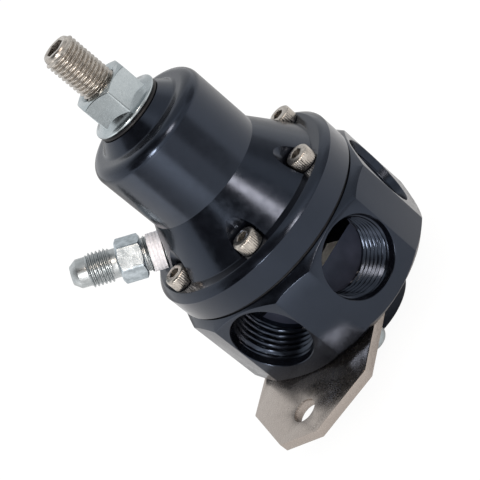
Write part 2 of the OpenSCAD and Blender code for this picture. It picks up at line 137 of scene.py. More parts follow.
def piece(name, mesh, place=None):
    """An object for a mesh, with its place in the mesh."""
    if place is not None:
        mesh.transform(place)
    obj = bpy.data.objects.new(name, mesh)
    bpy.context.scene.collection.objects.link(obj)
    return obj


def settle(obj):
    """Turns an object's modifiers into a plain mesh."""
    bpy.context.view_layer.update()
    graph = bpy.context.evaluated_depsgraph_get()
    mesh = bpy.data.meshes.new_from_object(obj.evaluated_get(graph))
    obj.modifiers.clear()
    old = obj.data
    obj.data = mesh
    bpy.data.meshes.remove(old)
    mesh.name = obj.name


def combine(obj, others, operation="DIFFERENCE"):
    """Cuts other objects out of obj, or leaves only what they share with it, and deletes them."""
    for other in others:
        modifier = obj.modifiers.new(other.name, "BOOLEAN")
        modifier.operation = operation
        modifier.solver = "EXACT"
        modifier.object = other
    settle(obj)
    for other in others:
        bpy.data.objects.remove(other)


def break_edges(obj, angle, width, segments):
    """Bevels the edges above an angle, in degrees, by a width in millimetres."""
    edges = obj.modifiers.new("edges", "BEVEL")
    edges.limit_method = "ANGLE"
    edges.angle_limit = radians(angle)
    edges.width = width * MM
    edges.segments = segments
    edges.use_clamp_overlap = True
    settle(obj)


def smooth(obj, angle):
    """Smooth shading with sharp edges above an angle, in degrees."""
    mesh = obj.data
    mesh.polygons.foreach_set("use_smooth", [True] * len(mesh.polygons))
    mesh.set_sharp_from_angle(angle=radians(angle))
    mesh.update()


def dress(obj, material, body, node, angle):
    """Gives a finished piece its shading, material, body and the node that it stands for."""
    smooth(obj, angle)
    obj.data.materials.clear()
    obj.data.materials.append(material)
    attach(obj, body)
    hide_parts(node)


def arc(centre_r, centre_z, radius, start, end, steps):
    """Section points on an arc, with angles in degrees from the +r direction."""
    return [(centre_r + radius * cos(radians(start + (end - start) * k / steps)),
             centre_z + radius * sin(radians(start + (end - start) * k / steps))) for k in range(steps + 1)]


def thread_wave(turn):
    """Height of a thread's flank at a share of its pitch, from 0 at the root to 1 at the crest."""
    root, crest = 0.2, 0.84
    t = abs(turn - floor(turn) - 0.5) * 2
    return min(1.0, max(0.0, (t - root) / (crest - root)))


def thread_rings(z0, z1, minor, major, pitch, per_pitch=12, fade0=0.7, fade1=0.7, internal=False):
    """Rings of a right-hand thread between two heights, faded at its ends over shares of the pitch.
    An outside thread fades into its minor radius, an inside one into its major radius."""
    count = int(ceil((z1 - z0) / pitch * per_pitch))
    out = []
    for k in range(count + 1):
        z = z0 + (z1 - z0) * k / count
        f = max(0.0, min(1.0, (z - z0) / (fade0 * pitch), (z1 - z) / (fade1 * pitch)))

        def radius(a, z=z, f=f):
            w = thread_wave(z / pitch - a / (2 * pi))
            if internal:
                return major - (major - minor) * f * (1 - w)
            return minor + (major - minor) * w * f
        out.append((radius, z))
    return out


def hexagon(across_flats, turn=0.0):
    """Radius of a hexagon as a function of the angle, with a corner at turn."""
    def radius(a):
        b = (a - turn) % (pi / 3) - pi / 6
        return across_flats / 2 / cos(b)
    return radius


def add(tree, kind, **settings):
    """A new node in a node tree, with its settings."""
    node = tree.nodes.new(kind)
    for key, v in settings.items():
        setattr(node, key, v)
    return node


# Materials

class Finish:
    """A material whose colour, roughness and bump come from small patterns on the piece's own coordinates."""

    def __init__(self, name, colour, metallic, roughness):
        self.material = bpy.data.materials.new(name)
        self.material.use_nodes = True
        self.tree = self.material.node_tree
        self.shader = self.tree.nodes["Principled BSDF"]
        self.shader.inputs["Base Color"].default_value = (*colour, 1)
        self.shader.inputs["Metallic"].default_value = metallic
        self.shader.inputs["Roughness"].default_value = roughness
        self.coords = self.tree.nodes.new("ShaderNodeTexCoord").outputs["Object"]
        self.height = None

    def link(self, a, b):
        self.tree.links.new(a, b)

    def node(self, kind, **settings):
        return add(self.tree, kind, **settings)

    def turned_coords(self):
        """Coordinates (radius, height), so that a pattern runs round the axis as turning marks do."""
        split = self.node("ShaderNodeSeparateXYZ")
        self.link(self.coords, split.inputs[0])
        flat = self.node("ShaderNodeCombineXYZ")
        self.link(split.outputs["X"], flat.inputs["X"])
        self.link(split.outputs["Y"], flat.inputs["Y"])
        length = self.node("ShaderNodeVectorMath", operation="LENGTH")
        self.link(flat.outputs[0], length.inputs[0])
        joined = self.node("ShaderNodeCombineXYZ")
        self.link(length.outputs["Value"], joined.inputs["X"])
        self.link(split.outputs["Z"], joined.inputs["Y"])
        return joined.outputs[0]

    def noise(self, scale, detail=2.0, rough=0.5, coords=None, stretch=None):
        """Noise on the piece's coordinates or on given ones, stretched if asked."""
        source = coords or self.coords
        if stretch:
            mapping = self.node("ShaderNodeMapping")
            mapping.inputs["Scale"].default_value = stretch
            self.link(source, mapping.inputs["Vector"])
            source = mapping.outputs["Vector"]
        n = self.node("ShaderNodeTexNoise")
        n.inputs["Scale"].default_value = scale
        n.inputs["Detail"].default_value = detail
        n.inputs["Roughness"].default_value = rough
        self.link(source, n.inputs["Vector"])
        return n.outputs["Fac"]

    def colours(self, fac, low, high):
        """Base colour between two colours, by the middle range of a pattern."""
        n = self.node("ShaderNodeValToRGB")
        for element, position, colour in zip(n.color_ramp.elements, (0.35, 0.65), (low, high)):
            element.position = position
            element.color = (*colour, 1)
        self.link(fac, n.inputs["Fac"])
        self.link(n.outputs["Color"], self.shader.inputs["Base Color"])

    def roughness(self, fac, low, high):
        """Roughness between two levels, by the middle range of a pattern."""
        n = self.node("ShaderNodeMapRange")
        for label, v in (("From Min", 0.3), ("From Max", 0.7), ("To Min", low), ("To Max", high)):
            n.inputs[label].default_value = v
        self.link(fac, n.inputs["Value"])
        self.link(n.outputs["Result"], self.shader.inputs["Roughness"])

    def bump(self, fac, distance):
        """Relief from a pattern, over the relief that is there already."""
        n = self.node("ShaderNodeBump")
        n.inputs["Strength"].default_value = 1.0
        n.inputs["Distance"].default_value = distance
        self.link(fac, n.inputs["Height"])
        if self.height is not None:
            self.link(self.height, n.inputs["Normal"])
        self.height = n.outputs["Normal"]
        self.link(self.height, self.shader.inputs["Normal"])


def anodised_black(name, turned, rough=0.2, pale=1.0):
    """Black hard-anodised aluminium: a very dark bluish film with satin gloss and fine tool marks."""
    f = Finish(name, (0.0016, 0.0018, 0.0028), 0.0, 0.2)
    f.shader.inputs["IOR"].default_value = 1.56
    f.shader.inputs["Specular Tint"].default_value = (0.59, 0.73, 1.0, 1)
    f.colours(f.noise(160, 3), (0.0012 * pale, 0.0014 * pale, 0.0022 * pale),
              (0.0021 * pale, 0.0023 * pale, 0.0035 * pale))
    f.roughness(f.noise(420, 4, 0.6), rough - 0.05, rough + 0.05)
    if turned:
        marks = f.noise(5200, 2, 0.6, coords=f.turned_coords())
        f.bump(marks, 0.0000045)
    else:
        marks = f.noise(900, 3, 0.6, stretch=(1.0, 1.0, 9.0))
        f.bump(marks, 0.000004)
    f.bump(f.noise(6500, 2), 0.0000025)
    return f.material


def zinc_plate(name, low, high, rough, grain):
    """Zinc over steel, bluish, with a soft mottled grain."""
    f = Finish(name, high, 1.0, rough)
    f.colours(f.noise(520, 4, 0.6), low, high)
    f.roughness(f.noise(1500, 3, 0.6), rough - 0.07, rough + 0.07)
    f.bump(f.noise(2600, 3, 0.6), grain)
    return f.material


def stainless():
    """Warm grey stainless steel with fine machining marks."""
    f = Finish("stainless", (0.43, 0.4, 0.365), 1.0, 0.28)
    f.colours(f.noise(900, 3), (0.37, 0.343, 0.312), (0.49, 0.46, 0.42))
    f.roughness(f.noise(2400, 3), 0.22, 0.36)
    f.bump(f.noise(5200, 2), 0.000006)
    return f.material


def nickel_plate():
    """Satin nickel on sheet steel, brushed along the bracket, with tiny handling marks."""
    f = Finish("nickel_plate", (0.34, 0.31, 0.285), 1.0, 0.22)
    grain = f.noise(1400, 4, 0.65, stretch=(6.0, 0.35, 1.0))
    f.colours(grain, (0.325, 0.29, 0.266), (0.405, 0.366, 0.336))
    f.roughness(f.noise(700, 4, 0.65), 0.22, 0.3)
    f.bump(grain, 0.000003)
    f.bump(f.noise(3800, 3, 0.7), 0.0000015)
    return f.material


def white_tape():
    """Thin white sealing tape, soft and slightly glossy, with a fine fibre-like grain."""
    f = Finish("white_tape", (0.8, 0.79, 0.82), 0.0, 0.5)
    f.colours(f.noise(1300, 4, 0.6), (0.58, 0.57, 0.6), (0.74, 0.73, 0.76))
    f.shader.inputs["Subsurface Weight"].default_value = 0.15
    f.shader.inputs["Subsurface Radius"].default_value = (0.001, 0.0009, 0.0008)
    f.bump(f.noise(2600, 3, 0.6), 0.00005)
    return f.material


def black_rubber():
    """Smooth black rubber with a faint moulded grain."""
    f = Finish("black_rubber", (0.006, 0.006, 0.007), 0.0, 0.42)
    f.shader.inputs["Specular IOR Level"].default_value = 0.3
    f.colours(f.noise(500, 3), (0.004, 0.004, 0.005), (0.008, 0.008, 0.009))
    f.roughness(f.noise(1400, 3), 0.34, 0.5)
    f.bump(f.noise(4200, 3), 0.000008)
    return f.material


def turned_metal(name, low, high, rough):
    """Bare turned metal with fine rings from the lathe."""
    f = Finish(name, high, 1.0, rough)
    f.colours(f.noise(800, 3), low, high)
    f.roughness(f.noise(1800, 3), rough - 0.06, rough + 0.08)
    f.bump(f.noise(4200, 2, 0.6, coords=f.turned_coords()), 0.000006)
    return f.material


ANODISED_TURNED = anodised_black("black_anodised_turned", True)
ANODISED_MILLED = anodised_black("black_anodised_milled", False)
ANODISED_DRILLED = anodised_black("black_anodised_drilled", False, 0.48, 17.0)
ZINC = zinc_plate("zinc_plate", (0.365, 0.41, 0.43), (0.4, 0.445, 0.465), 0.22, 0.000004)
ZINC_GRAIN = zinc_plate("zinc_plate_hexagon", (0.3, 0.345, 0.375), (0.53, 0.595, 0.64), 0.37, 0.00003)
ZINC_CAST = zinc_plate("zinc_plate_grained", (0.36, 0.39, 0.4), (0.46, 0.485, 0.495), 0.33, 0.00002)
STAINLESS = stainless()
NICKEL = nickel_plate()
TAPE = white_tape()
RUBBER = black_rubber()
STEEL = turned_metal("plain_steel", (0.24, 0.245, 0.26), (0.36, 0.365, 0.38), 0.34)
ALUMINIUM = turned_metal("bare_aluminium", (0.66, 0.64, 0.6), (0.78, 0.76, 0.72), 0.3)
ALUMINIUM_SATIN = turned_metal("satin_aluminium", (0.7, 0.69, 0.66), (0.82, 0.8, 0.77), 0.55)
BRASS = turned_metal("seat_brass", (0.6, 0.47, 0.22), (0.74, 0.6, 0.32), 0.28)


# The ported block

def port_cutter(name, depth, angle):
    """A tapped port as a solid: a broken edge, a tapered seal band, the thread and a plain end."""
    mouth, plain, tail = 0.14, 2.2, 0.9
    band_r = 10.72
    rings = [(0, 1.0), (PORT_R + mouth, 1.0), (PORT_R + mouth, 0.0), (PORT_R, -mouth), (band_r, -plain + 0.15),
             (PORT_R, -plain)]
    thread = thread_rings(plain, depth - tail, PORT_MINOR_R, PORT_R, PORT_PITCH, internal=True)
    rings += [(r, -z) for r, z in thread]
    rings += [(PORT_R, -depth), (0, -depth)]
    mesh = rings_to_mesh(name, rings, 112)
    place = (Matrix.Rotation(angle, 4, "Z") @ Matrix.Translation((WIDE_APOTHEM * MM, 0, PORT_Z * MM))
             @ Matrix.Rotation(pi / 2, 4, "Y"))
    return piece(name, mesh, place)


def return_cutter():
    """The return port from below, and the hole for the valve seat above it."""
    mouth, first, last = 0.9, 2.0, 13.6
    through = WELL_Z + 0.5
    rings = [(0, -1.0), (PORT_R + mouth, -1.0), (PORT_R + mouth, 0.0), (PORT_R, mouth), (PORT_R, first)]
    rings += thread_rings(first, last, PORT_MINOR_R, PORT_R, PORT_PITCH, internal=True)
    rings += [(PORT_R, RETURN_DEPTH), (SEAT_HOLE_R, RETURN_DEPTH), (SEAT_HOLE_R, through), (0, through)]
    return piece("return_cutter", rings_to_mesh("return_cutter", rings, 112))


def twelve_flats():
    """A prism with the block's six wide flats and six narrow ones, longer than the block."""
    half = (FLAT_APOTHEM - WIDE_APOTHEM * cos(pi / 6)) / sin(pi / 6)
    corner = hypot(WIDE_APOTHEM, half)
    lean = atan2(half, WIDE_APOTHEM)
    over = 2
    bm = bmesh.new()
    outline = []
    for k in range(6):
        middle = radians(-90 + 60 * k)
        for side in (-1, 1):
            a = middle + side * lean
            outline.append((corner * cos(a) * MM, corner * sin(a) * MM))
    low = [bm.verts.new((x, y, -over * MM)) for x, y in outline]
    high = [bm.verts.new((x, y, (JOINT_Z + over) * MM)) for x, y in outline]
    bm.faces.new(list(reversed(low)))
    bm.faces.new(high)
    for i in range(12):
        j = (i + 1) % 12
        bm.faces.new((low[i], low[j], high[j], high[i]))
    mesh = bpy.data.meshes.new("twelve_flats")
    bm.to_mesh(mesh)
    bm.free()
    return piece("twelve_flats", mesh)


def ported_block():
    """The turned blank with its boss and chamfers, milled to twelve flats, with the ports and the chamber."""
    face_r = WIDE_APOTHEM - 0.4
    reach = 4.0
    edge, fillet = 0.5, 0.3
    turning = [(0, 0), (BOSS_R - edge, 0)] + arc(BOSS_R - edge, edge, edge, -90, 0, 4)[1:]
    turning += [(BOSS_R, BLOCK_Z - fillet)] + arc(BOSS_R + fillet, BLOCK_Z - fillet, fillet, 180, 90, 3)[1:]
    turning += [(face_r, BLOCK_Z), (face_r + reach, BLOCK_Z + reach), (face_r + reach, JOINT_Z - reach),
                (face_r, JOINT_Z), (0, JOINT_Z)]
    block = piece("ported_block", rings_to_mesh("ported_block", turning, 240))
    combine(block, [twelve_flats()], "INTERSECT")
    break_edges(block, 20, 0.13, 2)
    over = 42.0
    chamber = [(0, WELL_Z), (WELL_R, WELL_Z), (WELL_R, LEDGE_Z), (CHAMBER_R, LEDGE_Z), (CHAMBER_R, over), (0, over)]
    combine(block, [piece("chamber", rings_to_mesh("chamber", chamber, 144))])
    combine(block, [return_cutter()])
    for name, depth, angle in PORTS:
        combine(block, [port_cutter(name, depth, radians(angle))])
    return block


def finish_inside(obj):
    """Gives the ports' ends a drilled finish, and the chamber's floor and well on the side towards port A a bright
    satin aluminium face, a painted pool of light that comes in through port A.
    """
    drilled, lit_patch = 1, 2
    port_end_r, lit_patch_y, slack = 18.5, -3.4, 0.1
    for poly in obj.data.polygons:
        c, n = poly.center / MM, poly.normal
        r = hypot(c.x, c.y)
        if r < port_end_r and 17.0 < c.z < 41.0 and abs(n.z) < 0.02 and n.x * c.x + n.y * c.y > 0.5 * r:
            poly.material_index = drilled
        # painted pool of light: only the chamber's floor and well on the side towards port A get the bright face
        elif (r < CHAMBER_R + slack and WELL_Z - slack < c.z < LEDGE_Z + slack and c.y < lit_patch_y
              and (n.z > 0.99 or r < WELL_R + slack)):
            poly.material_index = lit_patch


# The bonnet

def fitting_place():
    """Places a mesh made along +Z on the reference fitting's axis, with 0 on the cone's surface."""
    return (Matrix.Rotation(FITTING_ANGLE, 4, "Z") @ Matrix.Translation((FITTING_R * MM, 0, FITTING_Z * MM))
            @ Matrix.Rotation(pi / 2 - FITTING_TILT, 4, "Y"))


def turned_bonnet():
    """Revolved flange, cone, barrel and neck with its spring space, six screw pockets and the spot face."""
    fillet_r, fillet_turn = 1.2, 90 - NECK_LEAN
    foot = NECK_R + (NECK_Z - SHOULDER_Z) * tan(radians(NECK_LEAN))
    mid = (foot + fillet_r * tan(radians(fillet_turn / 2)), SHOULDER_Z + fillet_r)
    fillet = [(mid[0] - fillet_r * sin(radians(fillet_turn * k / 6)),
               mid[1] - fillet_r * cos(radians(fillet_turn * k / 6))) for k in range(7)]
    bore_r, spring_r, spring_top, space_r = 5.05, 14.5, 81.5, 20.5
    cone_start = CONE_Z + 0.06
    section = [(space_r, FLANGE_Z), (FLANGE_R - 0.2, FLANGE_Z), (FLANGE_R, FLANGE_Z + 0.2), (FLANGE_R, 49.4),
               (31.68, 49.57), (29.82, 51.43), (29.65, CONE_Z), (26.6, CONE_Z), (CONE_FOOT_R, cone_start)]
    steps = 16
    section += [(CONE_FOOT_R + (BARREL_R - CONE_FOOT_R) * k / steps, cone_start + (BARREL_Z - cone_start) * k / steps)
                for k in range(1, steps + 1)]
    section += [(BARREL_R, 70.0), (BARREL_R, 76.0), (BARREL_R, 80.0)]
    section += arc(BARREL_R - SHOULDER_R, SHOULDER_Z - SHOULDER_R, SHOULDER_R, 0, 90, 18)
    section += fillet + [(10.55, NECK_Z - 0.2), (10.35, NECK_Z), (5.45, NECK_Z), (bore_r, NECK_Z - 0.4),
                         (bore_r, spring_top), (spring_r, spring_top), (spring_r, 56.0), (space_r, 46.5)]
    bonnet = piece("turned_bonnet", rings_to_mesh("turned_bonnet", section, 288, closed=True))
    cutters = []
    pocket_r, pocket_z, pocket_top = 4.2, CONE_Z - 0.04, 66.0
    for k in range(BOLT_COUNT):
        a = 2 * pi * k / BOLT_COUNT
        pocket = [(0, pocket_z), (pocket_r, pocket_z), (pocket_r, pocket_top), (0, pocket_top)]
        place = Matrix.Translation((BOLT_CIRCLE_R * cos(a) * MM, BOLT_CIRCLE_R * sin(a) * MM, 0))
        cutters.append(piece("pocket", rings_to_mesh("pocket", pocket, 72), place))
    hole_r, spot_r, spot_floor = 5.2, 6.8, -1.0
    spot = [(0, -14.0), (hole_r, -14.0), (hole_r, spot_floor), (spot_r, spot_floor), (spot_r, 3.0), (0, 3.0)]
    cutters.append(piece("spot_face", rings_to_mesh("spot_face", spot, 96), fitting_place()))
    combine(bonnet, cutters)
    return bonnet


def true_normals(obj):
    """Sets the normals of the bonnet's cone, barrel and flange from their true surfaces, so that cuts
    in them don't disturb the reflections."""
    mesh = obj.data
    cone_lean = radians(30.02)
    lean = (sin(cone_lean), cos(cone_lean))
    normals = [None] * len(mesh.loops)
    split = [tuple(n.vector) for n in mesh.corner_normals]
    for poly in mesh.polygons:
        c = poly.center
        r = hypot(c.x, c.y)
        radial = Vector((c.x / r, c.y / r, 0))
        out = poly.normal.dot(radial)
        up = poly.normal.z
        kind = None
        if abs(out - lean[1]) < 0.02 and abs(up - lean[0]) < 0.02 and CONE_Z * MM < c.z < (BARREL_Z + 0.1) * MM:
            kind = lean
        elif out > 0.998 and abs(up) < 0.02:
            kind = (0.0, 1.0)
        elif up > 0.9995:
            kind = (1.0, 0.0)
        for li in poly.loop_indices:
            if kind is None:
                normals[li] = split[li]
            else:
                v = mesh.vertices[mesh.loops[li].vertex_index].co
                d = hypot(v.x, v.y)
                normals[li] = (kind[1] * v.x / d, kind[1] * v.y / d, kind[0])
    mesh.normals_split_custom_set(normals)


# Fasteners and the adjusting screw

def cap_screw_mesh():
    """One socket cap screw: knurled head, broken top edge, hexagon socket and shank, seated at height 0."""
    count = 144
    ridges = 36
    head_r = 3.45
    depth = 0.13

    def knurl(cutback):
        return lambda a: head_r - cutback - depth * (0.5 - 0.5 * cos(ridges * a))
    socket = hexagon(3.0)
    shank = thread_rings(-17.5, -3.0, 1.62, 2.0, 0.7, 6)
    rings = [(0, -18.0), (1.5, -18.0), (1.62, -17.8)] + shank + [(2.0, -2.6), (2.0, 0.0), (3.1, 0.0), (3.3, 0.12)]
    rings += [(knurl(0.0), 0.3), (knurl(0.0), 3.45), (knurl(0.03), 3.62), (3.22, 3.8), (3.0, 3.98), (2.7, 4.1)]
    rings += [(1.95, 4.1), (lambda a: socket(a) + 0.1, 4.06), (socket, 3.94), (socket, 1.9), (0, 1.5)]
    return rings_to_mesh("cap_screw", rings, count)


def pan_screw_mesh():
    """One pan-head screw with a cross recess, head down, seated at height 0."""
    rings = [(0, -2.8), (1.6, -2.8), (2.6, -2.72)] + arc(2.3, -1.0, 1.8, -80, 0, 8) + [(4.1, 0.0), (2.0, 0.0)]
    rings += thread_rings(3.0, 9.3, 1.62, 2.0, 0.7, 6) + [(1.5, 9.8), (0, 9.8)]
    screw = piece("pan_screw", rings_to_mesh("pan_screw", rings, 96))
    blades = []
    for turn in (0, pi / 2):
        bm = bmesh.new()
        place = (Matrix.Rotation(turn, 4, "Z") @ Matrix.Translation((0, 0, -2.6 * MM))
                 @ Matrix.Diagonal((4.2 * MM, 0.8 * MM, 2.6 * MM, 1)))
        bmesh.ops.create_cube(bm, size=1.0, matrix=place)
        for v in bm.verts:
            if v.co.z > -2.0 * MM:
                v.co.x *= 0.45
                v.co.y *= 0.45
        mesh = bpy.data.meshes.new("blade")
        bm.to_mesh(mesh)
        bm.free()
        blades.append(piece("blade", mesh))
    combine(screw, blades)
    mesh = screw.data.copy()
    bpy.data.objects.remove(screw)
    return mesh


def repeat_tree(name, points_kind):
    """A node tree that sets copies of one piece on a circle or on a line, and makes them one plain mesh."""
    tree = bpy.data.node_groups.new(name, "GeometryNodeTree")
    face = tree.interface
    face.new_socket("Geometry", in_out="OUTPUT", socket_type="NodeSocketGeometry")
    inputs = [("Piece", "NodeSocketObject"), ("Count", "NodeSocketInt"), ("Reach", "NodeSocketFloat"),
              ("Offset", "NodeSocketVector"), ("Seed", "NodeSocketInt"), ("Finish", "NodeSocketMaterial")]
    for label, kind in inputs:
        face.new_socket(label, in_out="INPUT", socket_type=kind)
    nodes, link = tree.nodes, tree.links.new
    given = nodes.new("NodeGroupInput")
    out = nodes.new("NodeGroupOutput")
    if points_kind == "circle":
        points = nodes.new("GeometryNodeMeshCircle")
        link(given.outputs["Count"], points.inputs["Vertices"])
        link(given.outputs["Reach"], points.inputs["Radius"])
    else:
        points = nodes.new("GeometryNodeMeshLine")
        link(given.outputs["Count"], points.inputs["Count"])
        step = nodes.new("ShaderNodeCombineXYZ")
        link(given.outputs["Reach"], step.inputs["X"])
        link(step.outputs[0], points.inputs["Offset"])
    shift = nodes.new("GeometryNodeSetPosition")
    link(points.outputs["Mesh"], shift.inputs["Geometry"])
    link(given.outputs["Offset"], shift.inputs["Offset"])
    source = nodes.new("GeometryNodeObjectInfo")
    source.inputs["As Instance"].default_value = True
    link(given.outputs["Piece"], source.inputs["Object"])
    turn = add(tree, "FunctionNodeRandomValue", data_type="FLOAT")
    turn.inputs[2].default_value = 0.0
    turn.inputs[3].default_value = 2 * pi
    link(given.outputs["Seed"], turn.inputs["Seed"])
    spin = nodes.new("ShaderNodeCombineXYZ")
    link(turn.outputs[1], spin.inputs["Z"])
    place = nodes.new("GeometryNodeInstanceOnPoints")
    link(shift.outputs["Geometry"], place.inputs["Points"])
    link(source.outputs["Geometry"], place.inputs["Instance"])
    link(spin.outputs[0], place.inputs["Rotation"])
    real = nodes.new("GeometryNodeRealizeInstances")
    link(place.outputs["Instances"], real.inputs["Geometry"])
    paint = nodes.new("GeometryNodeSetMaterial")
    link(real.outputs["Geometry"], paint.inputs["Geometry"])
    link(given.outputs["Finish"], paint.inputs["Material"])
    link(paint.outputs["Geometry"], out.inputs["Geometry"])
    return tree


def repeated(name, tree, mesh, material, **values):
    """A plain mesh of the copies that a tree makes of one mesh."""
    source = piece(name + "_source", mesh)
    smooth(source, 35)
    obj = piece(name, bpy.data.meshes.new(name))
    modifier = obj.modifiers.new(name, "NODES")
    modifier.node_group = tree
    ids = {s.name: s.identifier for s in tree.interface.items_tree if s.in_out == "INPUT"}
    modifier[ids["Piece"]] = source
    modifier[ids["Finish"]] = material
    for label, v in values.items():
        modifier[ids[label]] = v
    settle(obj)
    bpy.data.objects.remove(source)
    return obj


def adjusting_stud():
    """Threaded stud with chamfered ends and a hexagon socket in its top."""
    socket = hexagon(5.0, radians(20))
    rings = [(0, STUD_Z), (4.0, STUD_Z), (4.25, STUD_Z + 0.4)]
    rings += thread_rings(STUD_Z + 0.8, STUD_TOP_Z - 0.9, 4.24, STUD_R, 1.25, 12, 0.5, 0.35)
    rings += [(4.2, STUD_TOP_Z - 0.55), (3.95, STUD_TOP_Z - 0.1), (3.8, STUD_TOP_Z), (3.15, STUD_TOP_Z)]
    rings += [(lambda a: socket(a) + 0.12, STUD_TOP_Z - 0.06), (socket, STUD_TOP_Z - 0.2)]
    rings += [(socket, STUD_TOP_Z - 5.0), (0, STUD_TOP_Z - 6.0)]
    return piece("adjusting_stud", rings_to_mesh("adjusting_stud", rings, 120))


def flange_nut():
    """Hexagon lock nut with a bevelled top, on a thin flange that rises in a hollow curve to the flats."""
    across = 15.0
    hex_r = hexagon(across, radians(13.5))
    flange_r, lip = 10.3, 0.35
    rim_r, rim_z = flange_r - lip, NUT_Z + 1.05
    top_r = across / 2 - 0.25
    bevel = tan(radians(32))

    def edge(k):
        """Hexagon with slightly rounded corners, set out by k."""
        return lambda a: min(hex_r(a), across / 2 / cos(pi / 6) - 0.04) + k

    def flange_z(r):
        """Height of the flange's upper face at a radius."""
        d = rim_r - r
        return rim_z + 0.22 * d + 0.2 * d * d
    rings = [(5.6, NUT_Z), (9.9, NUT_Z)] + arc(flange_r - 0.4, NUT_Z + 0.45, 0.4, -75, 0, 4)
    rings += arc(rim_r, rim_z - lip, lip, 0, 80, 5)
    for share in (0.0, 0.25, 0.5, 0.75, 0.92):
        def radius(a, share=share):
            return rim_r + (edge(0.1)(a) - rim_r) * share
        rings.append((radius, lambda a, radius=radius: flange_z(radius(a)) + 0.005))
    rings += [(edge(0.06), lambda a: flange_z(edge(0.1)(a)) + 0.05),
              (edge(0.0), lambda a: flange_z(edge(0.0)(a)) + 0.2),
              (edge(0.0), lambda a: NUT_TOP_Z - (edge(0.0)(a) - top_r) * bevel - 0.12),
              (edge(-0.1), lambda a: NUT_TOP_Z - (edge(-0.1)(a) - top_r) * bevel)]
    rings += [(top_r - 0.1, NUT_TOP_Z), (5.9, NUT_TOP_Z), (5.06, NUT_TOP_Z - 0.8), (5.06, NUT_Z + 0.6)]
    return piece("flange_nut", rings_to_mesh("flange_nut", rings, 240, closed=True))


def seal_ring():
    """Flat rubber-faced washer with rounded edges."""
    rings = [(5.4, NECK_Z), (9.85, NECK_Z)] + arc(9.75, NECK_Z + 0.4, 0.4, -75, 75, 6)
    rings += [(9.75, NECK_Z + 0.95), (9.5, NUT_Z), (5.4, NUT_Z)]
    return piece("seal_ring", rings_to_mesh("seal_ring", rings, 160, closed=True))


# The reference fitting

def flare_fitting():
    """Pipe thread, hexagon, relief, hose thread, land and flare nose with its bore."""
    across = 11.11
    hex_r = hexagon(across, radians(33))
    face_r = across / 2 - 0.25
    bore_r, pipe_r, corner = 1.9, 4.5, 0.12

    def edge(k):
        """Hexagon with rounded corners, set out by k."""
        return lambda a: min(hex_r(a), across / 2 / cos(pi / 6) - 0.1) + k

    def bevel(a):
        """Depth of the hexagon's turned bevel at an angle."""
        return (edge(0)(a) - face_r) * 0.55
    rings = [(bore_r, -7.0), (pipe_r, -7.0)]
    rings += thread_rings(-6.6, HEX_START - 0.3, 4.62, 5.145, PIPE_PITCH, 10, 0.5, 0.9)
    rings += [(pipe_r, HEX_START - 0.2), (pipe_r, HEX_START), (face_r, HEX_START),
              (edge(-0.08), lambda a: HEX_START + bevel(a)),
              (edge(0.0), lambda a: HEX_START + corner + bevel(a)),
              (edge(0.0), lambda a: HEX_END - corner - bevel(a)),
              (edge(-0.08), lambda a: HEX_END - bevel(a)), (face_r, HEX_END)]
    rings += [(4.25, HEX_END + 0.05), (4.05, HEX_END + 0.3), (4.02, 14.0)]
    rings += thread_rings(14.1, 20.9, 4.06, 4.7625, 1.058, 12, 0.6, 0.6)
    rings += [(4.05, 21.1), (4.05, 23.45), (3.98, 23.6), (2.62, 25.4), (2.5, 25.5), (2.1, 25.5), (bore_r, 25.3)]
    return piece("flare_fitting", rings_to_mesh("flare_fitting", rings, 144, closed=True), fitting_place())


def tape_wrap():
    """Turns of tape pulled into the pipe thread, each lapping the last, with a frayed outer end."""
    inner_r, outer_r = 5.16, 5.2
    count = 66

    def fray(a):
        """How far the outer end strays along the fitting."""
        return 0.09 * sin(3 * a) + 0.05 * sin(8 * a)
    rings = [(inner_r, TAPE_START)]
    for k in range(count + 1):
        z = TAPE_START + (TAPE_END - TAPE_START) * k / count

        def radius(a, z=z):
            turn = z / PIPE_PITCH - a / (2 * pi)
            lap = turn * 0.5 - floor(turn * 0.5)
            press = 0.05 * (0.5 - 0.5 * cos(2 * pi * turn))
            pull = 0.018 * sin(7 * a + 3 * z) + 0.012 * sin(13 * a - 5 * z)
            return outer_r + press + 0.1 * lap + pull * 0.6
        rings.append((radius, lambda a, z=z, k=k: z + fray(a) * (k / count) ** 3))
    rings.append((inner_r, lambda a: TAPE_END + fray(a)))
    return piece("tape_wrap", rings_to_mesh("tape_wrap", rings, 128, closed=True), fitting_place())


# The bracket

